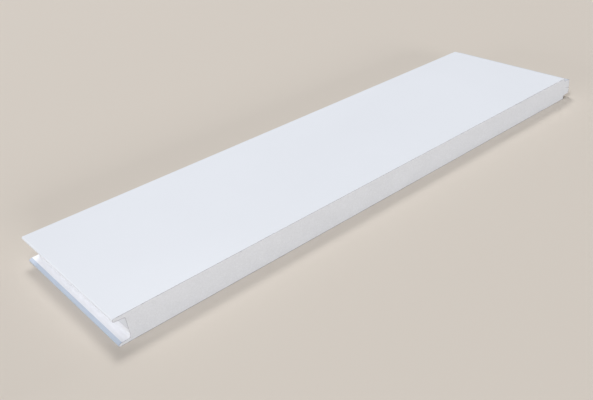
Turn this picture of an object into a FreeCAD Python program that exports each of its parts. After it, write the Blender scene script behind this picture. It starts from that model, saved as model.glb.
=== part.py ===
"""Insulated sandwich wall panel: a short full-width length of it, lying flat with its outer face up.

Two roll-formed sheet steel facings hold a foam core.  Both long edges are formed into the panel joint:
the edge at -X is the groove, the edge at +X the tongue that fits the groove of the next panel, one
cover width further along X.  The joint runs along Y, and both ends of the length are plain cuts.

The section is drawn from the tip of the upper groove lip (x = 0) and from the inner face (z = 0).
Every size is a cell of the sheet "Sizes", and what mates with the next panel is drawn from the groove's
own values and a named clearance.
"""
import FreeCAD, Part

import math
import os
import re

from FreeCAD import Placement, Rotation, Vector

import Sketcher

SIZES = {
    # the whole panel
    "cover_width": 1150.0,  # pitch of the panels on the wall
    "panel_thickness": 50.0,
    "sample_length": 302.0,
    "sheet_thickness": 0.5,
    # groove side: upper lip
    "nose_thickness": 5.5,  # depth of the round nose
    "lip_taper": 2.0,  # how much thicker the upper lip is at the groove wall than at the nose
    "groove_depth": 19.5,
    "wall_lean": 1.5,  # degrees that the groove wall leans away from the mouth, going down
    "wall_setback": 0.8,  # lower half of the wall, on the inner facing, behind the upper half
    "groove_top_bend": 2.0,
    # groove side: lower lip
    "lip_setback": 0.9,  # lower lip behind the nose
    "lip_tip_height": 3.3,
    "lip_slope_run": 5.6,  # width of the sloping strip along the lower lip
    "groove_floor_height": 5.5,
    "groove_floor_bend": 5.0,
    # where the edges of the two facings end, facing each other across a strip of bare foam
    "seam_height": 20.0,
    "wall_seam_gap": 4.0,
    "tongue_seam_gap": 2.5,
    "seam_recess": 2.5,  # how far the foam stands back under the flange in the tongue's seam
    # fit of the tongue in the next panel's groove
    "joint_gap": 4.0,  # open joint on the outer face
    "inner_joint_gap": 1.5,  # open joint on the inner face
    "top_clearance": 1.0,
    "tip_clearance": 2.0,  # at the tongue's upper corner
    "lower_tip_clearance": 0.7,  # at the lower half of the tongue's side
    "floor_clearance": 3.0,
    # tongue side
    "tongue_lean": 5.0,  # degrees that the upper half of the tongue's side leans outwards, going down
    "tongue_top_bend": 2.5,
    "tongue_floor_bend": 7.0,
    "flange_length": 14.0,  # edge of the outer facing, turned back into the foam
    "flange_rise": 4.0,
    # bends of the sheet, measured on the side that shows
    "slope_bend": 0.8,  # sharp bend between the lower lip's sloping strip and the groove's floor
    "outside_bend": 1.5,
    "inside_bend": 1.0,
}

# Heights and widths of the section that several corners share, as formulas of the sheet.
LIP_ROOT = "(panel_thickness - nose_thickness - lip_taper)"
TONGUE_CORNER_X = "(cover_width + groove_depth - tip_clearance)"
TONGUE_CORNER_Z = f"({LIP_ROOT} - top_clearance + lip_taper * tip_clearance / groove_depth)"
TONGUE_FLOOR = "(groove_floor_height + floor_clearance)"
OUTER_FLAT_END = "(cover_width - joint_gap)"
INNER_FLAT_END = "(cover_width + lip_setback - inner_joint_gap)"
LIP_SLOPE_END = "(lip_setback + lip_slope_run)"


def wall_x(height):
    """X of the leaning groove wall's upper half at a height."""
    return f"groove_depth + ({LIP_ROOT} - ({height})) * tan(wall_lean * 1 deg)"


def lower_wall_x(height):
    """X of the groove wall's lower half at a height."""
    return f"{wall_x(height)} + wall_setback"


def tongue_x(height):
    """X of the upper half of the tongue's side at a height."""
    return f"{TONGUE_CORNER_X} + ({TONGUE_CORNER_Z} - ({height})) * tan(tongue_lean * 1 deg)"


def lower_tongue_x(height):
    """X of the lower half of the tongue's side: parallel to the wall that it fits against."""
    return f"cover_width + {lower_wall_x(height)} - lower_tip_clearance"


# Corners of each facing's visible side as (x, z, bend radius): the foam is on the right of the path.
WALL_SEAM_TOP = "seam_height + wall_seam_gap / 2"
WALL_SEAM_BOTTOM = "seam_height - wall_seam_gap / 2"
TONGUE_SEAM_TOP = "seam_height + tongue_seam_gap / 2"
TONGUE_SEAM_BOTTOM = "seam_height - tongue_seam_gap / 2"

OUTER_PATH = [
    (wall_x(WALL_SEAM_TOP), WALL_SEAM_TOP, None),
    ("groove_depth", LIP_ROOT, "groove_top_bend"),
    ("0", "panel_thickness - nose_thickness", "nose_thickness / 2"),
    ("0", "panel_thickness", "nose_thickness / 2"),
    (OUTER_FLAT_END, "panel_thickness", "outside_bend"),
    (OUTER_FLAT_END,
     "panel_thickness - nose_thickness - top_clearance + lip_taper * joint_gap / groove_depth",
     "inside_bend"),
    (TONGUE_CORNER_X, TONGUE_CORNER_Z, "tongue_top_bend"),
    (tongue_x(TONGUE_SEAM_TOP), TONGUE_SEAM_TOP, "outside_bend"),
    (f"{tongue_x(TONGUE_SEAM_TOP)} - flange_length", f"{TONGUE_SEAM_TOP} + flange_rise", None),
]
INNER_PATH = [
    (lower_tongue_x(TONGUE_SEAM_BOTTOM), TONGUE_SEAM_BOTTOM, None),
    (lower_tongue_x(TONGUE_FLOOR), TONGUE_FLOOR, "tongue_floor_bend"),
    (f"cover_width + {LIP_SLOPE_END}", TONGUE_FLOOR, "outside_bend"),
    (INNER_FLAT_END, "lip_tip_height + floor_clearance", "inside_bend"),
    (INNER_FLAT_END, "0", "outside_bend"),
    ("lip_setback", "0", "outside_bend"),
    ("lip_setback", "lip_tip_height", "inside_bend"),
    (LIP_SLOPE_END, "groove_floor_height", "slope_bend"),
    (lower_wall_x("groove_floor_height"), "groove_floor_height", "groove_floor_bend"),
    (lower_wall_x(WALL_SEAM_BOTTOM), WALL_SEAM_BOTTOM, None),
]
# Foam shows between the facings' edges: set back in the tongue's seam, flush with both in the groove's.
TONGUE_SEAM_FOAM = [
    (f"{tongue_x(TONGUE_SEAM_TOP)} - seam_recess",
     f"{TONGUE_SEAM_TOP} + flange_rise * seam_recess / flange_length", None),
    (f"{lower_tongue_x(TONGUE_SEAM_BOTTOM)} - sheet_thickness", TONGUE_SEAM_BOTTOM, None),
]
ENVELOPE_PATH = OUTER_PATH[:-1] + TONGUE_SEAM_FOAM + INNER_PATH

# Half the overall width: the tongue's lower bend is the furthest point from the nose.
BEND_HEIGHT = f"{TONGUE_FLOOR} + tongue_floor_bend"
FURTHEST_X = f"{lower_tongue_x(BEND_HEIGHT)} + tongue_floor_bend * (1 - 1 / cos(wall_lean * 1 deg))"
HALF_WIDTH = f"({FURTHEST_X}) / 2"


def make_sheet(doc):
    """Put the sizes into the document's spreadsheet, one aliased cell each."""
    sheet = doc.addObject("Spreadsheet::Sheet", "Sizes")
    for row, (alias, value) in enumerate(SIZES.items(), start=1):
        sheet.set(f"A{row}", alias)
        sheet.set(f"B{row}", str(value))
        sheet.setAlias(f"B{row}", alias)
    doc.recompute()
    return sheet


def bound(formula):
    """Turn a formula of size names into one that reads the sheet's cells."""
    return re.sub("[a-z_]+", lambda word: f"Sizes.{word[0]}" if word[0] in SIZES else word[0], formula)


class PathSketch:
    """A fully constrained sketch of straight runs joined by tangent bends."""

    def __init__(self, doc, name, corners, closed=False):
        self.sketch = doc.addObject("Sketcher::SketchObject", name)
        self.closed = closed
        self.corners = [(bound(x), bound(z), radius and bound(radius)) for x, z, radius in corners]
        self.points = [Vector(self.value(x), self.value(z), 0) for x, z, _ in self.corners]
        self.sketch.Placement = Placement(Vector(), Rotation(Vector(1, 0, 0), 90))
        self.sketch.setExpression("Placement.Base.x", f"-{bound(HALF_WIDTH)}")
        self.draw()

    def value(self, formula):
        """What a formula of the sheet's cells comes to now."""
        result = self.sketch.evalExpression(formula)
        return float(getattr(result, "Value", result))

    def fix(self, constraint, name, formula):
        """Add a constraint and bind its value to a formula."""
        index = self.sketch.addConstraint(constraint)
        self.sketch.renameConstraint(index, name)
        self.sketch.setExpression(f"Constraints.{name}", formula)

    def place(self, element, position, corner):
        """Fix a point at a corner of the path, on an axis where its coordinate is zero."""
        x, z, _ = self.corners[corner]
        if x == "0":
            self.sketch.addConstraint(Sketcher.Constraint("PointOnObject", element, position, -2))
        else:
            distance = Sketcher.Constraint("DistanceX", -1, 1, element, position, self.points[corner].x)
            self.fix(distance, f"corner_{corner}_x", x)
        if z == "0":
            self.sketch.addConstraint(Sketcher.Constraint("PointOnObject", element, position, -1))
        else:
            distance = Sketcher.Constraint("DistanceY", -1, 1, element, position, self.points[corner].y)
            self.fix(distance, f"corner_{corner}_z", z)

    def bend(self, corner):
        """Centre, radius, tangent points and turn of the bend at a corner."""
        point = self.points[corner]
        before = (point - self.points[corner - 1]).normalize()
        after = (self.points[(corner + 1) % len(self.points)] - point).normalize()
        turn = math.atan2(before.x * after.y - before.y * after.x, before.dot(after))
        radius = self.value(self.corners[corner][2])
        reach = radius * math.tan(abs(turn) / 2)
        start, end = point - before * reach, point + after * reach
        side = math.copysign(radius, turn)
        centre = start + Vector(-before.y, before.x, 0) * side
        return centre, radius, start, end, turn

    def draw(self):
        """Add the runs and bends of the whole path, with what fixes them."""
        sketch, count = self.sketch, len(self.points)
        starts, ends, bends = list(self.points), list(self.points), {}
        for corner in range(count):
            if self.corners[corner][2]:
                bends[corner] = self.bend(corner)
                ends[corner], starts[corner] = bends[corner][2], bends[corner][3]
        runs = count if self.closed else count - 1
        lines = []
        for run in range(runs):
            line = Part.LineSegment(starts[run], ends[(run + 1) % count])
            lines.append(sketch.addGeometry(line, False))
        for corner in range(count):
            if corner in bends:
                self.add_bend(corner, lines[corner - 1], lines[corner], bends[corner])
            elif corner == 0 and not self.closed:
                self.place(lines[0], 1, 0)
            else:
                self.place(lines[corner - 1], 2, corner)
                if corner < runs:
                    meet = Sketcher.Constraint("Coincident", lines[corner - 1], 2, lines[corner], 1)
                    sketch.addConstraint(meet)

    def add_bend(self, corner, line_in, line_out, bend):
        """Join two runs with a tangent arc whose corner point and radius are fixed."""
        sketch = self.sketch
        centre, radius, start, end, turn = bend
        first, last = (start, end) if turn > 0 else (end, start)
        angles = [math.atan2(p.y - centre.y, p.x - centre.x) for p in (first, last)]
        circle = Part.Circle(centre, Vector(0, 0, 1), radius)
        arc = sketch.addGeometry(Part.ArcOfCircle(circle, *angles), False)
        point = sketch.addGeometry(Part.Point(self.points[corner]), True)
        arc_in, arc_out = (1, 2) if turn > 0 else (2, 1)
        sketch.addConstraint(Sketcher.Constraint("Tangent", line_in, 2, arc, arc_in))
        sketch.addConstraint(Sketcher.Constraint("Tangent", arc, arc_out, line_out, 1))
        sketch.addConstraint(Sketcher.Constraint("PointOnObject", point, 1, line_in))
        sketch.addConstraint(Sketcher.Constraint("PointOnObject", point, 1, line_out))
        self.place(point, 1, corner)
        self.fix(Sketcher.Constraint("Radius", arc, radius), f"bend_{corner}", self.corners[corner][2])


def extrude(doc, name, profile):
    """Carry a section along the joint, as far to one side of the XZ plane as to the other."""
    solid = doc.addObject("Part::Extrusion", name)
    solid.Base = profile
    solid.DirMode = "Custom"
    solid.Dir = Vector(0, 1, 0)
    solid.Solid = True
    solid.Symmetric = True
    solid.setExpression("LengthFwd", "Sizes.sample_length")
    return solid


def make_facing(doc, name, corners):
    """Roll-formed sheet: the path of its visible side, thickened towards the foam."""
    path = PathSketch(doc, f"{name}_path", corners).sketch
    strip = doc.addObject("Part::Offset2D", f"{name}_section")
    strip.Source = path
    strip.Fill = True
    strip.Mode = "Skin"
    strip.setExpression("Value", "-Sizes.sheet_thickness")
    return extrude(doc, name, strip)


def make_core(doc, name, facings):
    """Foam: the panel's whole section, less the two facings."""
    outline = PathSketch(doc, f"{name}_outline", ENVELOPE_PATH, closed=True).sketch
    core = extrude(doc, f"{name}_envelope", outline)
    for facing in facings:
        rest = doc.addObject("Part::Cut", f"{name}_less_{facing.Name}")
        rest.Base = core
        rest.Tool = facing
        core = rest
    core.Label = name
    return core


def check(doc, parts):
    """Stop at any object that failed and at any sub-part that isn't one valid solid."""
    for item in doc.Objects:
        if "Invalid" in item.State or "Error" in item.State:
            raise RuntimeError(f"{item.Label} failed: {item.State}")
    for part in parts:
        shape = part.Shape
        if shape.isNull() or not shape.isValid() or len(shape.Solids) != 1:
            raise RuntimeError(f"{part.Label} is not one valid solid")


def main():
    """Build the panel and write one file for each of its pieces."""
    doc = FreeCAD.newDocument("SandwichPanel")
    make_sheet(doc)
    outer_facing = make_facing(doc, "outer_facing", OUTER_PATH)
    inner_facing = make_facing(doc, "inner_facing", INNER_PATH)
    foam_core = make_core(doc, "foam_core", [outer_facing, inner_facing])
    doc.recompute()
    parts = [outer_facing, inner_facing, foam_core]
    check(doc, parts)
    os.makedirs("parts", exist_ok=True)
    for part in parts:
        part.Shape.exportStep(os.path.join("parts", f"{part.Label}.step"))
        box = part.Shape.BoundBox
        print(f"{part.Label}: {part.Shape.Volume:.0f} mm3, X {box.XMin:.3f} to {box.XMax:.3f}, "
              f"Y {box.YMin:.1f} to {box.YMax:.1f}, Z {box.ZMin:.3f} to {box.ZMax:.3f}")


main()
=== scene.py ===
"""Looks, light and camera of a short length of insulated sandwich wall panel.

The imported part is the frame.  Each steel facing is rolled again from the corners of its section, so that
its bends are round and its sheared edges are bare steel, and the foam core is cut again between them,
with the beads that show on its two sawn ends.
"""

import logging
import math
from dataclasses import dataclass, field
from enum import Enum
from typing import Any

import bpy
import numpy as np
from mathutils import Matrix, Vector, geometry


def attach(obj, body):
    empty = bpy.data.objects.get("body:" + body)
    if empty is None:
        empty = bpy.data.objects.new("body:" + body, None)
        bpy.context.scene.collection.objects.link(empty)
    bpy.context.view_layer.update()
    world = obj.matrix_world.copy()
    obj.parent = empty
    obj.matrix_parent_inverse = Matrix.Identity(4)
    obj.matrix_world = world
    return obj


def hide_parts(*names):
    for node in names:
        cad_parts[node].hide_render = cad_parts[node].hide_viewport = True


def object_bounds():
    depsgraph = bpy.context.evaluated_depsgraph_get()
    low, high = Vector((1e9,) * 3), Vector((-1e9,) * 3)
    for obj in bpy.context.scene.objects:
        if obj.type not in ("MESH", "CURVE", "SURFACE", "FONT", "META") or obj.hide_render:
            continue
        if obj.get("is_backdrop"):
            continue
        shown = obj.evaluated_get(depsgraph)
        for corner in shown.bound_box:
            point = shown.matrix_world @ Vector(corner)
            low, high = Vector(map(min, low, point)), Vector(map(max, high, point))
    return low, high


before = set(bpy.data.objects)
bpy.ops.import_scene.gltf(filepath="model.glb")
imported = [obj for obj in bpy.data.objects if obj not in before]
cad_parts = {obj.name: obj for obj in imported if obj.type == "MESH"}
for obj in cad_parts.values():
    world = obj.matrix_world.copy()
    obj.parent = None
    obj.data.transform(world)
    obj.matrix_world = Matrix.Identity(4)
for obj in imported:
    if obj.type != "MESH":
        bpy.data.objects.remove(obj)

log = logging.getLogger("sandwich_panel")
MM = 0.001
NOISE_SPAN = (0.3, 0.7)  # values that a noise texture seldom leaves
SAME_POINT = 1e-6  # metres between points that are merged
LARGEST_FACE_FIRST = 100  # weight with which a large flat face sets the normals of its rim
TRIANGLES_INSIDE = 1  # kind of triangulation that leaves out what lies outside the outline
TRIANGLE_PRECISION = 1e-7  # metres


def linear(colour: str) -> tuple[float, float, float, float]:
    """Turn an sRGB hex colour into the linear colour that a shader takes.

    The numbers are those of the sRGB standard.

    Args:
        colour: Six hex digits after a hash.

    Returns:
        Red, green, blue and an alpha of 1.
    """
    channels = [int(colour[start:start + 2], 16) / 255 for start in (1, 3, 5)]
    return (*[c / 12.92 if c <= 0.04045 else ((c + 0.055) / 1.055) ** 2.4 for c in channels], 1.0)


def add(tree: bpy.types.NodeTree, kind: str, settings: dict[str | int, Any] | None = None,
        links: dict[str | int, Any] | None = None) -> bpy.types.Node:
    """Add a node with its settings and links.

    Args:
        tree: Node tree that gets the node.
        kind: Blender's name of the node type.
        settings: Values by property name, or else by the name or index of an input.
        links: Output sockets by the name or index of the input that they feed.

    Returns:
        The new node.
    """
    node = tree.nodes.new(kind)
    for name, value in (settings or {}).items():
        if isinstance(name, str) and hasattr(node, name):
            setattr(node, name, value)
        else:
            node.inputs[name].default_value = value
    for name, socket in (links or {}).items():
        tree.links.new(socket, node.inputs[name])
    return node


def join(tree: bpy.types.NodeTree, operation: str, first: bpy.types.NodeSocket,
         second: bpy.types.NodeSocket) -> bpy.types.NodeSocket:
    """Join two values in one step of arithmetic.

    Args:
        tree: Node tree that gets the node.
        operation: Blender's name of the step.
        first: First value.
        second: Second value.

    Returns:
        The socket of the result.
    """
    return add(tree, "ShaderNodeMath", {"operation": operation}, {0: first, 1: second}).outputs[0]


def new_material(name: str) -> tuple[bpy.types.Material, bpy.types.NodeTree]:
    """Make an empty node material.

    Args:
        name: Name of the finish.

    Returns:
        The material and its node tree.
    """
    material = bpy.data.materials.new(name)
    material.use_nodes = True
    material.node_tree.nodes.clear()
    return material, material.node_tree


def add_noise(tree: bpy.types.NodeTree, place: bpy.types.NodeSocket, width: float,
              levels: tuple[float, float], span: tuple[float, float] = NOISE_SPAN) -> bpy.types.NodeSocket:
    """Add a value that drifts between two levels from place to place.

    Args:
        tree: Node tree of a material.
        place: Coordinates that the drift follows.
        width: Width of a patch, in metres.
        levels: Lowest and highest level.
        span: Values of the noise that give the lowest and the highest level.

    Returns:
        The socket of the value.
    """
    noise = add(tree, "ShaderNodeTexNoise", {"Scale": 1 / width}, {"Vector": place})
    value = add(tree, "ShaderNodeMapRange", {"From Min": span[0], "From Max": span[1],
                                             "To Min": levels[0], "To Max": levels[1]},
                {"Value": noise.outputs["Fac"]})
    return value.outputs["Result"]


def add_beads(tree: bpy.types.NodeTree, settings: dict[str | int, Any],
              links: dict[str | int, Any]) -> list[bpy.types.Node]:
    """Add the two textures that split space into the beads of a foam.

    Args:
        tree: Node tree of a material or a shape.
        settings: Settings that both textures get.
        links: Links that both textures get.

    Returns:
        The texture that tells the beads apart, and the one that finds the gaps between them.
    """
    return [add(tree, "ShaderNodeTexVoronoi", {"voronoi_dimensions": "4D", "feature": feature, **settings},
                links) for feature in ("F1", "DISTANCE_TO_EDGE")]


def add_surface(tree: bpy.types.NodeTree, settings: dict[str | int, Any],
                links: dict[str | int, Any] | None = None) -> None:
    """Add a material's shader and its output.

    Args:
        tree: Node tree of a material.
        settings: Settings of the principled shader.
        links: Links to its inputs.
    """
    shader = add(tree, "ShaderNodeBsdfPrincipled", settings, links)
    add(tree, "ShaderNodeOutputMaterial", {}, {"Surface": shader.outputs["BSDF"]})


def new_shape_tree(name: str, inputs: dict[str, str]) -> tuple[bpy.types.NodeTree, bpy.types.Node]:
    """Make an empty geometry node tree with named inputs.

    Args:
        name: Name of the tree.
        inputs: Socket type by input name; the geometry itself comes first.

    Returns:
        The tree and its input node.
    """
    tree = bpy.data.node_groups.new(name, "GeometryNodeTree")
    for label, kind in {"Geometry": "NodeSocketGeometry", **inputs}.items():
        tree.interface.new_socket(label, in_out="INPUT", socket_type=kind)
    tree.interface.new_socket("Geometry", in_out="OUTPUT", socket_type="NodeSocketGeometry")
    return tree, tree.nodes.new("NodeGroupInput")


def shade(tree: bpy.types.NodeTree, shape: bpy.types.NodeSocket,
          sharpest: bpy.types.NodeSocket) -> bpy.types.NodeSocket:
    """Shade a shape smooth but for its sharp edges.

    Args:
        tree: Geometry node tree.
        shape: Socket of the shape.
        sharpest: Socket of the sharpest bend that still looks smooth, in radians.

    Returns:
        The socket of the shaded shape, with real instances.
    """
    smooth = add(tree, "GeometryNodeSetShadeSmooth", {}, {"Geometry": shape})
    angle = add(tree, "GeometryNodeInputMeshEdgeAngle")
    is_edge = add(tree, "FunctionNodeCompare", {"operation": "GREATER_THAN"},
                  {0: angle.outputs["Unsigned Angle"], 1: sharpest})
    crisp = add(tree, "GeometryNodeSetShadeSmooth", {"domain": "EDGE", "Shade Smooth": False},
                {"Geometry": smooth.outputs["Geometry"], "Selection": is_edge.outputs["Result"]})
    real = add(tree, "GeometryNodeRealizeInstances", {}, {"Geometry": crisp.outputs["Geometry"]})
    return real.outputs["Geometry"]


def new_piece(name: str, mesh: bpy.types.Mesh) -> bpy.types.Object:
    """Put a mesh into the scene as an object at the origin.

    Args:
        name: Name of the piece.
        mesh: Its mesh.

    Returns:
        The new object.
    """
    piece = bpy.data.objects.new(name, mesh)
    bpy.context.scene.collection.objects.link(piece)
    return piece


def run_tree(piece: bpy.types.Object, tree: bpy.types.NodeTree, values: dict[str, Any]) -> None:
    """Add a geometry node modifier and set its inputs.

    Args:
        piece: Object that gets the modifier.
        tree: Its node tree.
        values: Values by the name of the tree's input.
    """
    modifier = piece.modifiers.new(tree.name, "NODES")
    modifier.node_group = tree
    sockets = {item.name: item.identifier for item in tree.interface.items_tree if item.in_out == "INPUT"}
    for label, value in values.items():
        modifier[sockets[label]] = value


def settle(piece: bpy.types.Object) -> None:
    """Turn a piece's modifiers into plain mesh.

    Args:
        piece: Object with live modifiers.
    """
    bpy.context.view_layer.update()
    shape = piece.evaluated_get(bpy.context.evaluated_depsgraph_get())
    mesh = bpy.data.meshes.new_from_object(shape)
    piece.modifiers.clear()
    piece.data = mesh
    mesh.name = piece.name


@dataclass(frozen=True)
class Corner:
    """A corner of the section, in millimetres.

    Attributes:
        x: Distance from the nose of the upper groove lip.
        z: Height above the inner face.
        bend: Radius of the bend at the corner, or 0 where it is sharp or the path ends.
    """

    x: float
    z: float
    bend: float = 0.0

    def towards(self, other: "Corner") -> Vector:
        """Unit vector to another corner."""
        return Vector((other.x - self.x, other.z - self.z)).normalized()


@dataclass(frozen=True)
class JointSection:
    """Section of the panel with its groove and tongue, in millimetres and degrees.

    The paths follow the side of each facing that shows, with the foam on their right.  The tongue is
    drawn from the groove that it fits, and from the clearances.
    """

    cover_width: float = 1150.0  # pitch of the panels on the wall
    thickness: float = 50.0
    sheet: float = 0.5
    # upper lip and wall of the groove
    nose: float = 5.5  # height of the lip's round nose
    lip_taper: float = 2.0  # how much thicker the lip is at the wall
    groove_depth: float = 19.5
    wall_lean: float = 1.5
    wall_setback: float = 0.8  # inner facing's part of the wall behind the outer facing's
    groove_top_bend: float = 2.0
    # lower lip and floor of the groove
    lip_setback: float = 0.9  # lower lip behind the nose
    lip_tip: float = 3.3
    lip_slope_run: float = 5.6
    groove_floor: float = 5.5
    groove_floor_bend: float = 5.0
    # seams of bare foam between the two facings
    seam: float = 20.0  # height of both seams
    wall_seam_gap: float = 4.0
    tongue_seam_gap: float = 2.5
    seam_recess: float = 2.5  # foam behind the tongue's side
    # fit of the tongue in the next panel's groove
    joint_gap: float = 4.0  # open joint on the outer face
    inner_joint_gap: float = 1.5
    top_clearance: float = 1.0
    tip_clearance: float = 2.0
    lower_tip_clearance: float = 0.7
    floor_clearance: float = 3.0
    # tongue
    tongue_lean: float = 5.0
    tongue_top_bend: float = 2.5
    tongue_floor_bend: float = 7.0
    flange: float = 14.0  # edge of the outer facing, turned back into the foam
    flange_rise: float = 4.0
    # small bends
    slope_bend: float = 0.8
    outside_bend: float = 1.5
    inside_bend: float = 1.0

    @property
    def lip_root(self) -> float:
        """Height of the upper lip's underside at the groove wall."""
        return self.thickness - self.nose - self.lip_taper

    def wall(self, height: float) -> float:
        """X of the groove wall's upper half at a height."""
        return self.groove_depth + (self.lip_root - height) * math.tan(math.radians(self.wall_lean))

    @property
    def tongue_corner(self) -> Corner:
        """Upper corner of the tongue."""
        drop = self.top_clearance - self.lip_taper * self.tip_clearance / self.groove_depth
        return Corner(self.cover_width + self.groove_depth - self.tip_clearance, self.lip_root - drop,
                      self.tongue_top_bend)

    def tongue(self, height: float) -> float:
        """X of the tongue's upper half at a height."""
        corner = self.tongue_corner
        return corner.x + (corner.z - height) * math.tan(math.radians(self.tongue_lean))

    def tongue_foot(self, height: float) -> float:
        """X of the tongue's lower half at a height."""
        return self.cover_width + self.wall(height) + self.wall_setback - self.lower_tip_clearance

    def outer_path(self) -> list[Corner]:
        """Draw the outer facing, from the groove wall over the top to the flange in the foam.

        Returns:
            Its corners on the side that shows.
        """
        wall_end, tongue_end = self.seam + self.wall_seam_gap / 2, self.seam + self.tongue_seam_gap / 2
        edge = self.cover_width - self.joint_gap
        ledge = (self.thickness - self.nose - self.top_clearance
                 + self.lip_taper * self.joint_gap / self.groove_depth)
        return [
            Corner(self.wall(wall_end), wall_end),
            Corner(self.groove_depth, self.lip_root, self.groove_top_bend),
            Corner(0.0, self.thickness - self.nose, self.nose / 2),
            Corner(0.0, self.thickness, self.nose / 2),
            Corner(edge, self.thickness, self.outside_bend),
            Corner(edge, ledge, self.inside_bend),
            self.tongue_corner,
            Corner(self.tongue(tongue_end), tongue_end, self.outside_bend),
            Corner(self.tongue(tongue_end) - self.flange, tongue_end + self.flange_rise),
        ]

    def inner_path(self) -> list[Corner]:
        """Draw the inner facing, from the tongue's foot under the panel to the groove wall.

        Returns:
            Its corners on the side that shows.
        """
        wall_end, tongue_end = self.seam - self.wall_seam_gap / 2, self.seam - self.tongue_seam_gap / 2
        edge = self.cover_width + self.lip_setback - self.inner_joint_gap
        slope_end = self.lip_setback + self.lip_slope_run
        foot = self.groove_floor + self.floor_clearance
        return [
            Corner(self.tongue_foot(tongue_end), tongue_end),
            Corner(self.tongue_foot(foot), foot, self.tongue_floor_bend),
            Corner(self.cover_width + slope_end, foot, self.outside_bend),
            Corner(edge, self.lip_tip + self.floor_clearance, self.inside_bend),
            Corner(edge, 0.0, self.outside_bend),
            Corner(self.lip_setback, 0.0, self.outside_bend),
            Corner(self.lip_setback, self.lip_tip, self.inside_bend),
            Corner(slope_end, self.groove_floor, self.slope_bend),
            Corner(self.wall(self.groove_floor) + self.wall_setback, self.groove_floor,
                   self.groove_floor_bend),
            Corner(self.wall(wall_end) + self.wall_setback, wall_end),
        ]

    def behind(self, path: list[Corner]) -> list[Corner]:
        """Draw the same path on the side of the sheet that the foam sticks to.

        Args:
            path: Corners on the side that shows.

        Returns:
            Corners one sheet thickness to the right, with their bends made tighter or wider by as much.
        """
        corners = []
        for place, corner in enumerate(path):
            before = path[place - 1].towards(corner) if place else corner.towards(path[1])
            after = corner.towards(path[place + 1]) if place + 1 < len(path) else before
            sides = Vector((before.y, -before.x)) + Vector((after.y, -after.x))
            step = sides * self.sheet / (1 + before.dot(after))
            turn = math.copysign(self.sheet, before.x * after.y - before.y * after.x)
            bend = corner.bend + turn if corner.bend else 0.0
            corners.append(Corner(corner.x + step.x, corner.z + step.y, bend))
        return corners

    def foam_path(self) -> list[Corner]:
        """Draw the foam: behind both facings, round the flange and across the two seams.

        Returns:
            Its corners all the way round.
        """
        outer, inner = self.outer_path(), self.inner_path()
        outer_back, inner_back = self.behind(outer), self.behind(inner)
        tip, bend = outer[-1], outer[-2]
        recess = Vector((bend.x, bend.z)) + bend.towards(tip) * math.hypot(
            self.seam_recess, self.seam_recess * self.flange_rise / self.flange)
        return [outer[0], *outer_back, tip, Corner(*recess), *inner_back, inner[-1]]


def bent_path_tree() -> bpy.types.NodeTree:
    """Tree that joins the runs between corners with round bends.

    Returns:
        A tree from a chain of corners with a "bend" attribute to the chain with its bends.
    """
    tree, given = new_shape_tree("bent_path", {"Bend Steps": "NodeSocketInt"})
    radius = add(tree, "GeometryNodeInputNamedAttribute", {"data_type": "FLOAT", "Name": "bend"})
    curve = add(tree, "GeometryNodeMeshToCurve", {}, {"Mesh": given.outputs["Geometry"]})
    bends = add(tree, "GeometryNodeFilletCurve", {"mode": "POLY"},
                {"Curve": curve.outputs["Curve"], "Count": given.outputs["Bend Steps"],
                 "Radius": radius.outputs["Attribute"]})
    chain = add(tree, "GeometryNodeCurveToMesh", {}, {"Curve": bends.outputs["Curve"]})
    add(tree, "NodeGroupOutput", {}, {"Geometry": chain.outputs["Mesh"]})
    return tree


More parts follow.
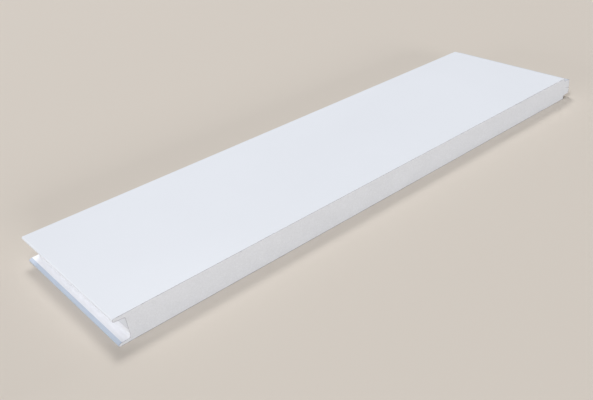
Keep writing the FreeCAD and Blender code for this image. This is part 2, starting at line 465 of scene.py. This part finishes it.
def roll_formed_tree(bent_path: bpy.types.NodeTree) -> bpy.types.NodeTree:
    """Tree that rolls a sheet along its bent path and shears it to length.

    Args:
        bent_path: Tree that rounds the corners.

    Returns:
        A tree from a chain of corners to a closed sheet with its three finishes.
    """
    tree, given = new_shape_tree("roll_formed_sheet", {
        "Length": "NodeSocketFloat", "Sheet Thickness": "NodeSocketFloat", "Bend Steps": "NodeSocketInt",
        "Sharpest Smooth Bend": "NodeSocketFloat", "Coating": "NodeSocketMaterial",
        "Backing": "NodeSocketMaterial", "Bare Edge": "NodeSocketMaterial"})
    chain = add(tree, "GeometryNodeGroup", {"node_tree": bent_path},
                {"Geometry": given.outputs["Geometry"], "Bend Steps": given.outputs["Bend Steps"]})
    along = add(tree, "ShaderNodeCombineXYZ", {}, {"Y": given.outputs["Length"]})
    front = add(tree, "GeometryNodeExtrudeMesh", {"mode": "EDGES"},
                {"Mesh": chain.outputs["Geometry"], "Offset": along.outputs["Vector"]})
    outward = add(tree, "GeometryNodeFlipFaces", {}, {"Mesh": front.outputs["Mesh"]})
    inward = add(tree, "ShaderNodeMath", {"operation": "MULTIPLY", 1: -1.0},
                 {0: given.outputs["Sheet Thickness"]})
    back = add(tree, "GeometryNodeExtrudeMesh", {"mode": "FACES", "Individual": False},
               {"Mesh": outward.outputs["Mesh"], "Offset Scale": inward.outputs[0]})
    turned = add(tree, "GeometryNodeFlipFaces", {}, {"Mesh": back.outputs["Mesh"]})
    both = add(tree, "GeometryNodeJoinGeometry", {}, {"Geometry": outward.outputs["Mesh"]})
    tree.links.new(turned.outputs["Mesh"], both.inputs["Geometry"])
    sheet = add(tree, "GeometryNodeMergeByDistance", {"Distance": SAME_POINT},
                {"Geometry": both.outputs["Geometry"]})
    shape = shade(tree, sheet.outputs["Geometry"], given.outputs["Sharpest Smooth Bend"])
    coated = add(tree, "GeometryNodeSetMaterial", {},
                 {"Geometry": shape, "Material": given.outputs["Coating"]})
    backed = add(tree, "GeometryNodeSetMaterial", {},
                 {"Geometry": coated.outputs["Geometry"], "Selection": back.outputs["Top"],
                  "Material": given.outputs["Backing"]})
    bare = add(tree, "GeometryNodeSetMaterial", {},
               {"Geometry": backed.outputs["Geometry"], "Selection": back.outputs["Side"],
                "Material": given.outputs["Bare Edge"]})
    add(tree, "NodeGroupOutput", {}, {"Geometry": bare.outputs["Geometry"]})
    return tree


def bead_relief_tree() -> bpy.types.NodeTree:
    """Tree that sinks a sawn foam face between its beads and where beads were torn out.

    Returns:
        A tree that moves points with a "sawn" attribute along the joint, into the foam.
    """
    tree, given = new_shape_tree("bead_relief", {
        "Bead Width": "NodeSocketFloat", "Gap Width": "NodeSocketFloat", "Gap Depth": "NodeSocketFloat",
        "Torn Share": "NodeSocketFloat", "Torn Depth": "NodeSocketFloat", "Torn Floor": "NodeSocketFloat",
        "Torn Width": "NodeSocketFloat", "Seed": "NodeSocketFloat",
        "Sharpest Smooth Bend": "NodeSocketFloat", "Foam": "NodeSocketMaterial"})
    values = given.outputs
    scale = add(tree, "ShaderNodeMath", {"operation": "DIVIDE", 0: 1.0}, {1: values["Bead Width"]})
    beads, gaps = add_beads(tree, {}, {"Scale": scale.outputs[0], "W": values["Seed"]})
    fade = {"interpolation_type": "SMOOTHSTEP", "To Min": 1.0, "To Max": 0.0}
    gap = add(tree, "ShaderNodeMapRange", {"From Min": 0.0, **fade},
              {"From Max": values["Gap Width"], "Value": gaps.outputs["Distance"]})
    gap_depth = join(tree, "MULTIPLY", gap.outputs["Result"], values["Gap Depth"])
    # the colour of a bead is three random numbers
    draw = add(tree, "FunctionNodeSeparateColor", {}, {"Color": beads.outputs["Color"]})
    torn = add(tree, "FunctionNodeCompare", {"operation": "LESS_THAN"},
               {0: draw.outputs["Red"], 1: values["Torn Share"]})
    bowl = add(tree, "ShaderNodeMapRange", fade,
               {"From Min": values["Torn Floor"], "From Max": values["Torn Width"],
                "Value": beads.outputs["Distance"]})
    bowl_depth = join(tree, "MULTIPLY", bowl.outputs["Result"], values["Torn Depth"])
    torn_depth = join(tree, "MULTIPLY", bowl_depth, torn.outputs["Result"])
    depth = join(tree, "MAXIMUM", gap_depth, torn_depth)
    sawn = add(tree, "GeometryNodeInputNamedAttribute", {"data_type": "FLOAT", "Name": "sawn"})
    inward = join(tree, "MULTIPLY", depth, sawn.outputs["Attribute"])
    offset = add(tree, "ShaderNodeCombineXYZ", {}, {"Y": inward})
    moved = add(tree, "GeometryNodeSetPosition", {},
                {"Geometry": values["Geometry"], "Offset": offset.outputs["Vector"]})
    shape = shade(tree, moved.outputs["Geometry"], values["Sharpest Smooth Bend"])
    foam = add(tree, "GeometryNodeSetMaterial", {}, {"Geometry": shape, "Material": values["Foam"]})
    add(tree, "NodeGroupOutput", {}, {"Geometry": foam.outputs["Geometry"]})
    return tree


class Side(Enum):
    """Side of a limit on which the painted shade lies, as the sign of the way from the limit to the
    painted shade.
    """

    BELOW = -1.0
    ABOVE = 1.0


@dataclass(frozen=True)
class CoilCoatedSteel:
    """Galvanised steel sheet with a white polyester coating, rolled on and baked as a flat coil.

    The eye gets a smooth cool white with a soft sheen, a hint of orange peel and drifts of shade too
    faint to have edges.  On a strip of the joint's stepped faces the white is painted cooler and darker:
    painted shade for the dimmer light and reflection that these faces get.

    Attributes:
        name: Name of the finish.
        coating: Colour of the coating.
        painted_shade: Colour painted on the shaded strip, darker and bluer than the coating: painted
            shade.
        shade_side: Side of the limit on which the painted shade lies.
        shade_limit: X of the painted shade's long edge, in metres.
        shade_top: Height up to which the painted shade reaches, in metres.
        shade_edge: Width over which the painted shade's edge fades, in metres.
        roughness: Roughness of the baked coating.
        refraction: Refractive index of the coating.
        peel_width: Width of a ripple of the orange peel, in metres.
        peel_depth: Depth of the orange peel, in metres.
        peel_detail: Finer layers of noise in the orange peel.
        drift_width: Width of a drift of shade, in metres.
        drift: How much darker a drift gets.
    """

    name: str
    coating: str
    painted_shade: str
    shade_side: Side
    shade_limit: float
    shade_top: float
    shade_edge: float = 0.3 * MM
    roughness: float = 0.34
    refraction: float = 1.5
    peel_width: float = 2.5 * MM
    peel_depth: float = 0.004 * MM
    peel_detail: float = 2.0
    drift_width: float = 220.0 * MM
    drift: float = 0.02

    def beyond(self, tree: bpy.types.NodeTree, value: bpy.types.NodeSocket, limit: float,
               side: Side) -> bpy.types.NodeSocket:
        """Mask the stretch where a coordinate lies beyond a limit.

        Args:
            tree: The coating's node tree.
            value: Coordinate to test.
            limit: Where the mask changes, in metres.
            side: Side of the limit that the mask covers.

        Returns:
            A socket that is 1 inside the mask and 0 outside.
        """
        half = side.value * self.shade_edge / 2
        mask = add(tree, "ShaderNodeMapRange", {"From Min": limit - half, "From Max": limit + half},
                   {"Value": value})
        return mask.outputs["Result"]

    def material(self) -> bpy.types.Material:
        """Build the coating and its strip of painted shade.

        Returns:
            The finished material.
        """
        material, tree = new_material(self.name)
        place = add(tree, "ShaderNodeTexCoord").outputs["Object"]
        along = add(tree, "ShaderNodeSeparateXYZ", {}, {"Vector": place}).outputs
        peel = add(tree, "ShaderNodeTexNoise", {"Scale": 1 / self.peel_width, "Detail": self.peel_detail},
                   {"Vector": place})
        bump = add(tree, "ShaderNodeBump", {"Distance": self.peel_depth}, {"Height": peel.outputs["Fac"]})
        value = add_noise(tree, place, self.drift_width, (1 - self.drift, 1.0))
        # mask of the strip that gets painted shade: beyond the limit in X and below the top in Z
        shaded_strip = join(tree, "MULTIPLY", self.beyond(tree, along["X"], self.shade_limit, self.shade_side),
                       self.beyond(tree, along["Z"], self.shade_top, Side.BELOW))
        # inputs 6 and 7 and output 2 are the colours of the mix
        mix = add(tree, "ShaderNodeMix", {"data_type": "RGBA", 6: linear(self.coating),
                                          7: linear(self.painted_shade)}, {0: shaded_strip})
        colour = add(tree, "ShaderNodeHueSaturation", {}, {"Color": mix.outputs[2], "Value": value})
        add_surface(tree, {"Roughness": self.roughness, "IOR": self.refraction},
                    {"Base Color": colour.outputs["Color"], "Normal": bump.outputs["Normal"]})
        return material


@dataclass(frozen=True)
class ShearedSteel:
    """Cut edge of galvanised steel: a thin mid-grey line with a soft metal gleam.

    Attributes:
        name: Name of the finish.
        steel: Colour of the bare steel.
        roughness: Roughness of the cut.
        burr_width: Width of a mark of the shear, in metres.
        burr_depth: Depth of a mark of the shear, in metres.
    """

    name: str = "sheared_galvanised_steel"
    steel: str = "#a3a4b0"
    roughness: float = 0.45
    burr_width: float = 0.8 * MM
    burr_depth: float = 0.03 * MM

    def material(self) -> bpy.types.Material:
        """Build the metal with the fine marks of the shear.

        Returns:
            The finished material.
        """
        material, tree = new_material(self.name)
        place = add(tree, "ShaderNodeTexCoord").outputs["Object"]
        marks = add(tree, "ShaderNodeTexNoise", {"Scale": 1 / self.burr_width}, {"Vector": place})
        bump = add(tree, "ShaderNodeBump", {"Distance": self.burr_depth}, {"Height": marks.outputs["Fac"]})
        add_surface(tree, {"Base Color": linear(self.steel), "Metallic": 1.0, "Roughness": self.roughness},
                    {"Normal": bump.outputs["Normal"]})
        return material


@dataclass(frozen=True)
class BackingCoat:
    """Thin grey epoxy coat on the foam side of the sheet: matt, and hidden but for the seam's flange.

    Attributes:
        name: Name of the finish.
        coat: Colour of the coat.
        roughness: Roughness of the coat.
        refraction: Refractive index of the coat.
        mottle_width: Width of a lighter or darker patch, in metres.
        mottle: How much lighter or darker a patch gets.
    """

    name: str = "epoxy_backing_coat"
    coat: str = "#c4c6c3"
    roughness: float = 0.6
    refraction: float = 1.5
    mottle_width: float = 6.0 * MM
    mottle: float = 0.05

    def material(self) -> bpy.types.Material:
        """Build the slightly mottled coat.

        Returns:
            The finished material.
        """
        material, tree = new_material(self.name)
        place = add(tree, "ShaderNodeTexCoord").outputs["Object"]
        value = add_noise(tree, place, self.mottle_width, (1 - self.mottle, 1 + self.mottle), (0.0, 1.0))
        colour = add(tree, "ShaderNodeHueSaturation", {"Color": linear(self.coat)}, {"Value": value})
        add_surface(tree, {"Roughness": self.roughness, "IOR": self.refraction},
                    {"Base Color": colour.outputs["Color"]})
        return material


@dataclass(frozen=True)
class ExpandedPolystyrene:
    """White beads steamed into a block and cut across with a saw.

    The eye gets a matt off-white of many small beads, each a shade lighter or darker with a faint line
    between them, in wide faint blotches.

    Attributes:
        name: Name of the finish.
        bead: Colour of a bead.
        bead_width: Width of a bead, in metres.
        bead_contrast: How much the lightest bead differs from the darkest.
        line_width: Width of the line round a bead, as a share of the bead.
        line_contrast: How much darker the line is.
        blotch_width: Width of a blotch, in metres.
        blotch_contrast: How much the lightest blotch differs from the darkest.
        roughness: Roughness of the cut.
        refraction: Refractive index of the foam's skin.
        seed: Picks the pattern of beads.
    """

    name: str = "expanded_polystyrene"
    bead: str = "#e6e8ed"
    bead_width: float = 3.6 * MM
    bead_contrast: float = 0.03
    line_width: float = 0.12
    line_contrast: float = 0.045
    blotch_width: float = 45.0 * MM
    blotch_contrast: float = 0.03
    roughness: float = 0.9
    refraction: float = 1.45
    seed: float = 4.0

    def material(self) -> bpy.types.Material:
        """Build the matt bead pattern.

        Returns:
            The finished material.
        """
        material, tree = new_material(self.name)
        place = add(tree, "ShaderNodeTexCoord").outputs["Object"]
        beads, gaps = add_beads(tree, {"Scale": 1 / self.bead_width, "W": self.seed}, {"Vector": place})
        # the colour of a bead is three random numbers
        draw = add(tree, "ShaderNodeSeparateColor", {}, {"Color": beads.outputs["Color"]})
        tint = add(tree, "ShaderNodeMapRange", {"To Min": 1 - self.bead_contrast / 2,
                                                "To Max": 1 + self.bead_contrast / 2},
                   {"Value": draw.outputs["Green"]})
        line = add(tree, "ShaderNodeMapRange", {"From Max": self.line_width,
                                                "To Min": 1 - self.line_contrast, "To Max": 1.0},
                   {"Value": gaps.outputs["Distance"]})
        blotch = add_noise(tree, place, self.blotch_width,
                           (1 - self.blotch_contrast / 2, 1 + self.blotch_contrast / 2))
        pattern = join(tree, "MULTIPLY", tint.outputs["Result"], line.outputs["Result"])
        value = join(tree, "MULTIPLY", pattern, blotch)
        colour = add(tree, "ShaderNodeHueSaturation", {"Color": linear(self.bead)}, {"Value": value})
        add_surface(tree, {"Roughness": self.roughness, "IOR": self.refraction},
                    {"Base Color": colour.outputs["Color"]})
        return material


@dataclass
class Panel:
    """The dressed panel: two rolled facings and the foam core between them.

    Attributes:
        section: Section of the panel.
        bend_steps: Flat steps in each round bend.
        smooth_bend: Sharpest bend of the sheet that looks smooth, in degrees.
        grid: Distance between the points of the sawn foam, in metres.
        smooth_relief: Sharpest edge of the sawn foam that looks smooth, in degrees.
        gap_width: Width of the gap round a bead, as a share of the bead.
        gap_depth: Depth of the gap, in metres.
        torn_share: Share of the beads that the saw tore out.
        torn_depth: Depth of the bowl that such a bead leaves, in metres.
        torn_floor: Radius of the bowl's flat floor, as a share of the bead.
        torn_width: Radius of the bowl's rim, as a share of the bead.
    """

    section: JointSection = field(default_factory=JointSection)
    bend_steps: int = 10
    smooth_bend: float = 40.0
    grid: float = 1.3 * MM
    smooth_relief: float = 50.0
    gap_width: float = 0.22
    gap_depth: float = 0.12 * MM
    torn_share: float = 0.03
    torn_depth: float = 0.6 * MM
    torn_floor: float = 0.1
    torn_width: float = 0.55

    def __post_init__(self) -> None:
        """Take the nose, the length and the ends from the frame, and build what all pieces share."""
        low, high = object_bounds()
        self.nose, self.near, self.far = low[0], low[1], high[1]
        self.bent_path = bent_path_tree()
        section = self.section
        # each coating gets a darker, bluer strip of painted shade: the outer one on the tongue's ledge,
        # the inner one on the lower lip's slope
        self.outer_coating = CoilCoatedSteel(
            name="polyester_coated_steel_outer", coating="#eaedf3", painted_shade="#cdd1d9", shade_side=Side.ABOVE,
            shade_limit=self.nose + (section.cover_width - section.joint_gap) * MM,
            shade_top=(section.thickness - section.nose) * MM).material()
        # the inner facing has the same coating as the outer one, painted lighter: painted light for the
        # groove floor in the shade of the upper lip
        self.inner_coating = CoilCoatedSteel(
            name="polyester_coated_steel_inner_painted_light", coating="#fafbff", painted_shade="#c5d0e0", shade_side=Side.BELOW,
            shade_limit=self.nose + (section.lip_setback + section.lip_slope_run) * MM,
            shade_top=(section.groove_floor + section.sheet) * MM).material()
        self.backing, self.bare = BackingCoat().material(), ShearedSteel().material()
        self.foam = ExpandedPolystyrene()

    def chain(self, name: str, corners: list[Corner], closed: bool) -> bpy.types.Object:
        """Make a chain of corners at the near end, with the radius of each bend.

        Args:
            name: Name of the piece.
            corners: Its corners in order.
            closed: Whether the last corner joins the first.

        Returns:
            An object with points and edges only.
        """
        mesh = bpy.data.meshes.new(name)
        points = [(self.nose + corner.x * MM, self.near, corner.z * MM) for corner in corners]
        edges = [(place, place + 1) for place in range(len(corners) - 1)]
        mesh.from_pydata(points, edges + ([(len(corners) - 1, 0)] if closed else []), [])
        bends = mesh.attributes.new("bend", "FLOAT", "POINT")
        bends.data.foreach_set("value", [corner.bend * MM for corner in corners])
        return new_piece(name, mesh)

    def build_facing(self, node: str, corners: list[Corner], coating: bpy.types.Material,
                     tree: bpy.types.NodeTree) -> None:
        """Roll one facing and put it in place of its solid.

        Args:
            node: Name of the solid's node, which is also its material slot.
            corners: Corners of the side that shows.
            coating: Finish of the side that shows.
            tree: Tree that rolls the sheet.
        """
        piece = self.chain(f"{node}_rolled", corners, closed=False)
        run_tree(piece, tree, {
            "Length": self.far - self.near, "Sheet Thickness": self.section.sheet * MM,
            "Bend Steps": self.bend_steps, "Sharpest Smooth Bend": math.radians(self.smooth_bend),
            "Coating": coating, "Backing": self.backing, "Bare Edge": self.bare})
        normals = piece.modifiers.new("flat_faces_first", "WEIGHTED_NORMAL")
        normals.weight, normals.keep_sharp = LARGEST_FACE_FIRST, True
        settle(piece)
        self.mount(piece, node)

    def outline(self) -> list[Vector]:
        """Round the bends of the foam's outline at its near end.

        Returns:
            Points all the way round, with none along the straight runs.
        """
        chain = self.chain("foam_outline", self.section.foam_path(), closed=True)
        run_tree(chain, self.bent_path, {"Bend Steps": self.bend_steps})
        settle(chain)
        points = [Vector((vertex.co.x, vertex.co.z)) for vertex in chain.data.vertices]
        bpy.data.objects.remove(chain)
        return points

    def divide(self, outline: list[Vector]) -> list[Vector]:
        """Divide the long runs of an outline into steps of about the grid.

        Args:
            outline: Corners of the closed outline.

        Returns:
            The corners and the points between them.
        """
        points = []
        for here, there in zip(outline, outline[1:] + outline[:1]):
            steps = max(1, round((there - here).length / self.grid))
            points += [here.lerp(there, step / steps) for step in range(steps)]
        return points

    def inside(self, outline: list[Vector]) -> list[Vector]:
        """Lay a grid of equal triangles inside an outline.

        Args:
            outline: Corners of the closed outline.

        Returns:
            The grid points that are at least half a grid step from the outline.
        """
        starts = np.array([point[:] for point in outline])
        runs = np.roll(starts, -1, axis=0) - starts
        low, high = starts.min(axis=0), starts.max(axis=0)
        rise = self.grid * math.sqrt(3) / 2
        kept = []
        for row, z in enumerate(np.arange(low[1] + rise / 2, high[1], rise)):
            across = np.arange(low[0] + (row % 2) * self.grid / 2, high[0], self.grid)
            points = np.stack([across, np.full(len(across), z)], axis=1)[:, None]
            gone = points - starts
            share = np.clip((gone * runs).sum(axis=2) / (runs ** 2).sum(axis=1), 0, 1)
            nearest = np.linalg.norm(gone - share[..., None] * runs, axis=2).min(axis=1)
            crosses = (starts[:, 1] > z) != (starts[:, 1] + runs[:, 1] > z)
            level = np.where(runs[:, 1] == 0, 1, runs[:, 1])
            reach = starts[:, 0] + (z - starts[:, 1]) / level * runs[:, 0]
            odd = (crosses & (reach > across[:, None])).sum(axis=1) % 2 == 1
            kept += [Vector(point) for point in points[odd & (nearest > self.grid / 2), 0]]
        return kept

    def build_foam(self, node: str) -> None:
        """Cut the foam core to length, with a fine grid on its two sawn faces.

        Args:
            node: Name of the solid's node, which is also its material slot.
        """
        outline = self.outline()
        rim = self.divide(outline)
        count = len(rim)
        points, _, faces, *_ = geometry.delaunay_2d_cdt(
            rim + self.inside(outline), [], [list(range(count))], TRIANGLES_INSIDE, TRIANGLE_PRECISION)
        size = len(points)
        vertices = [(x, self.near, z) for x, z in points] + [(x, self.far, z) for x, z in points]
        near_end = [tuple(face) for face in faces]
        far_end = [tuple(size + corner for corner in reversed(face)) for face in faces]
        sides = [(place, (place + 1) % count, size + (place + 1) % count, size + place)
                 for place in range(count)]
        mesh = bpy.data.meshes.new("foam_core_sawn")
        mesh.from_pydata(vertices, [], near_end + far_end + sides)
        way_in = [0.0] * count + [1.0] * (size - count)
        sawn = mesh.attributes.new("sawn", "FLOAT", "POINT")
        sawn.data.foreach_set("value", way_in + [-way for way in way_in])
        piece = new_piece("foam_core_sawn", mesh)
        run_tree(piece, bead_relief_tree(), {
            "Bead Width": self.foam.bead_width, "Gap Width": self.gap_width, "Gap Depth": self.gap_depth,
            "Torn Share": self.torn_share, "Torn Depth": self.torn_depth, "Torn Floor": self.torn_floor,
            "Torn Width": self.torn_width, "Seed": self.foam.seed,
            "Sharpest Smooth Bend": math.radians(self.smooth_relief), "Foam": self.foam.material()})
        settle(piece)
        self.mount(piece, node)

    def mount(self, piece: bpy.types.Object, node: str) -> None:
        """Put a finished piece in place of its solid.

        Args:
            piece: The finished piece.
            node: Name of the solid's node, which is also its material slot.
        """
        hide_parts(node)
        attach(piece, "root")
        log.info("%s: %d faces", piece.name, len(piece.data.polygons))

    def build(self) -> None:
        """Build the two facings, then the foam core between them."""
        rolling = roll_formed_tree(self.bent_path)
        self.build_facing("outer_facing", self.section.outer_path(), self.outer_coating, rolling)
        self.build_facing("inner_facing", self.section.inner_path(), self.inner_coating, rolling)
        self.build_foam("foam_core")


def direction(azimuth: float, elevation: float) -> Vector:
    """Direction from the panel towards a lamp or the camera.

    Args:
        azimuth: Degrees round the panel, from the near side towards the tongue.
        elevation: Degrees above the floor.

    Returns:
        A unit vector.
    """
    turn, tilt = math.radians(azimuth), math.radians(elevation)
    return Vector((math.sin(turn) * math.cos(tilt), -math.cos(turn) * math.cos(tilt), math.sin(tilt)))


@dataclass(frozen=True)
class Lamp:
    """A wide soft lamp that faces the panel.

    Attributes:
        name: Name of the lamp.
        azimuth: Degrees round the panel, from the near side towards the tongue.
        elevation: Degrees above the floor.
        width: Width of the lamp, in metres.
        height: Height of the lamp, in metres.
        level: Light that it sheds on a white card facing it, where 1 shows as white.
        colour: Colour of its light.
        gleams: Whether it shows as a gleam in glossy surfaces.
    """

    name: str
    azimuth: float
    elevation: float
    width: float
    height: float
    level: float
    colour: str
    gleams: bool

    def hang(self, distance: float) -> None:
        """Hang the lamp.

        A white card that faces a lamp of P watts shines as P / (pi * distance) ** 2.

        Args:
            distance: Distance from the middle of the floor, in metres.
        """
        data = bpy.data.lights.new(self.name, "AREA")
        data.shape, data.size, data.size_y = "RECTANGLE", self.width, self.height
        data.color = linear(self.colour)[:3]
        data.energy = self.level * (math.pi * distance) ** 2
        lamp = bpy.data.objects.new(self.name, data)
        back = direction(self.azimuth, self.elevation)
        lamp.location = back * distance
        lamp.rotation_mode = "QUATERNION"
        lamp.rotation_quaternion = back.to_track_quat("Z", "Y")
        lamp.visible_glossy = self.gleams
        bpy.context.scene.collection.objects.link(lamp)


@dataclass
class Studio:
    """Pale floor, even light and the camera.

    Attributes:
        floor: Colour of the floor.
        floor_radius: Radius of the round floor, in metres.
        floor_sides: Sides of the round floor.
        floor_roughness: Roughness of the floor.
        lens: Focal length of the camera, in millimetres.
        sensor_width: Width of the camera's sensor, in millimetres.
        camera_offset: Way from the groove's near upper corner to the camera, in metres.
        azimuth: Degrees round the panel from which the camera looks, from the near side to the tongue.
        elevation: Degrees above the floor from which the camera looks.
        roll: Degrees by which the camera is turned about its line of sight.
        sky: Colour of the world.
        sky_strength: Strength of the world as a light.
        backdrop: Strength of the world as the camera and glossy surfaces see it.
        lamp_distance: Distance of the lamps from the middle of the floor, in metres.
        lamps: The lamps.
    """

    floor: str = "#d8cfc4"
    floor_radius: float = 10.0
    floor_sides: int = 96
    floor_roughness: float = 0.9
    lens: float = 43.24
    sensor_width: float = 36.0
    camera_offset: tuple[float, float, float] = (-0.2824, -0.7569, 0.6126)
    azimuth: float = -39.49
    elevation: float = 30.33
    roll: float = 4.45
    sky: str = "#f6f9ff"
    sky_strength: float = 0.14
    backdrop: float = 0.9
    lamp_distance: float = 18.0
    lamps: tuple[Lamp, ...] = (
        # name, azimuth, elevation, width, height, level, colour, gleams
        Lamp("key", 150.0, 58.0, 5.4, 5.4, 0.41, "#ffffff", True),
        Lamp("side", -82.0, 60.0, 5.4, 5.4, 0.36, "#fcfdff", True),
        Lamp("low", -88.0, 9.0, 8.0, 3.0, 0.23, "#fcfdff", False),
        Lamp("front", -14.0, 11.0, 8.0, 3.0, 0.46, "#fdfeff", False),
        Lamp("end", 95.0, 12.0, 8.0, 3.0, 0.16, "#fdfeff", False),
    )

    def build_floor(self) -> None:
        """Lay a plain round floor at the height that the panel lies on."""
        mesh = bpy.data.meshes.new("floor")
        turns = [math.tau * side / self.floor_sides for side in range(self.floor_sides)]
        mesh.from_pydata([(self.floor_radius * math.cos(turn), self.floor_radius * math.sin(turn), 0)
                          for turn in turns], [], [tuple(range(self.floor_sides))])
        floor = new_piece("floor", mesh)
        material, tree = new_material("plain_floor")
        add_surface(tree, {"Base Color": linear(self.floor), "Roughness": self.floor_roughness})
        mesh.materials.append(material)
        floor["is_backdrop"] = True

    def build_light(self) -> None:
        """Light the panel with soft lamps and a dim world, which shows as a near-white backdrop."""
        world = bpy.data.worlds.new("studio")
        world.use_nodes = True
        tree = world.node_tree
        tree.nodes.clear()
        ray = add(tree, "ShaderNodeLightPath")
        shown = join(tree, "MAXIMUM", ray.outputs["Is Camera Ray"], ray.outputs["Is Glossy Ray"])
        strength = add(tree, "ShaderNodeMapRange", {"To Min": self.sky_strength, "To Max": self.backdrop},
                       {"Value": shown})
        sky = add(tree, "ShaderNodeBackground", {"Color": linear(self.sky)},
                  {"Strength": strength.outputs["Result"]})
        add(tree, "ShaderNodeOutputWorld", {}, {"Surface": sky.outputs["Background"]})
        bpy.context.scene.world = world
        for lamp in self.lamps:
            lamp.hang(self.lamp_distance)

    def build_camera(self, corner: tuple[float, float, float]) -> None:
        """Stand the camera in front of the groove's corner, looking along the panel and down.

        Args:
            corner: The panel's near upper corner on the groove side, in metres.
        """
        data = bpy.data.cameras.new("camera")
        data.lens, data.sensor_width = self.lens, self.sensor_width
        camera = bpy.data.objects.new("camera", data)
        level = direction(self.azimuth, self.elevation).to_track_quat("Z", "Y").to_matrix()
        rolled = level @ Matrix.Rotation(-math.radians(self.roll), 3, "Z")
        place = Matrix.Translation(Vector(corner) + Vector(self.camera_offset))
        camera.matrix_world = place @ rolled.to_4x4()
        bpy.context.scene.collection.objects.link(camera)
        bpy.context.scene.camera = camera


def main() -> None:
    """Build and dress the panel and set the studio."""
    cad_box = [list(corner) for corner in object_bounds()]
    low, high = cad_box
    Panel().build()
    studio = Studio()
    studio.build_floor()
    studio.build_light()
    studio.build_camera((low[0], low[1], high[2]))
    bpy.context.scene.view_settings.view_transform = "Standard"


if __name__ == "__main__":
    logging.basicConfig(level=logging.INFO, format="%(name)s: %(message)s")
    main()
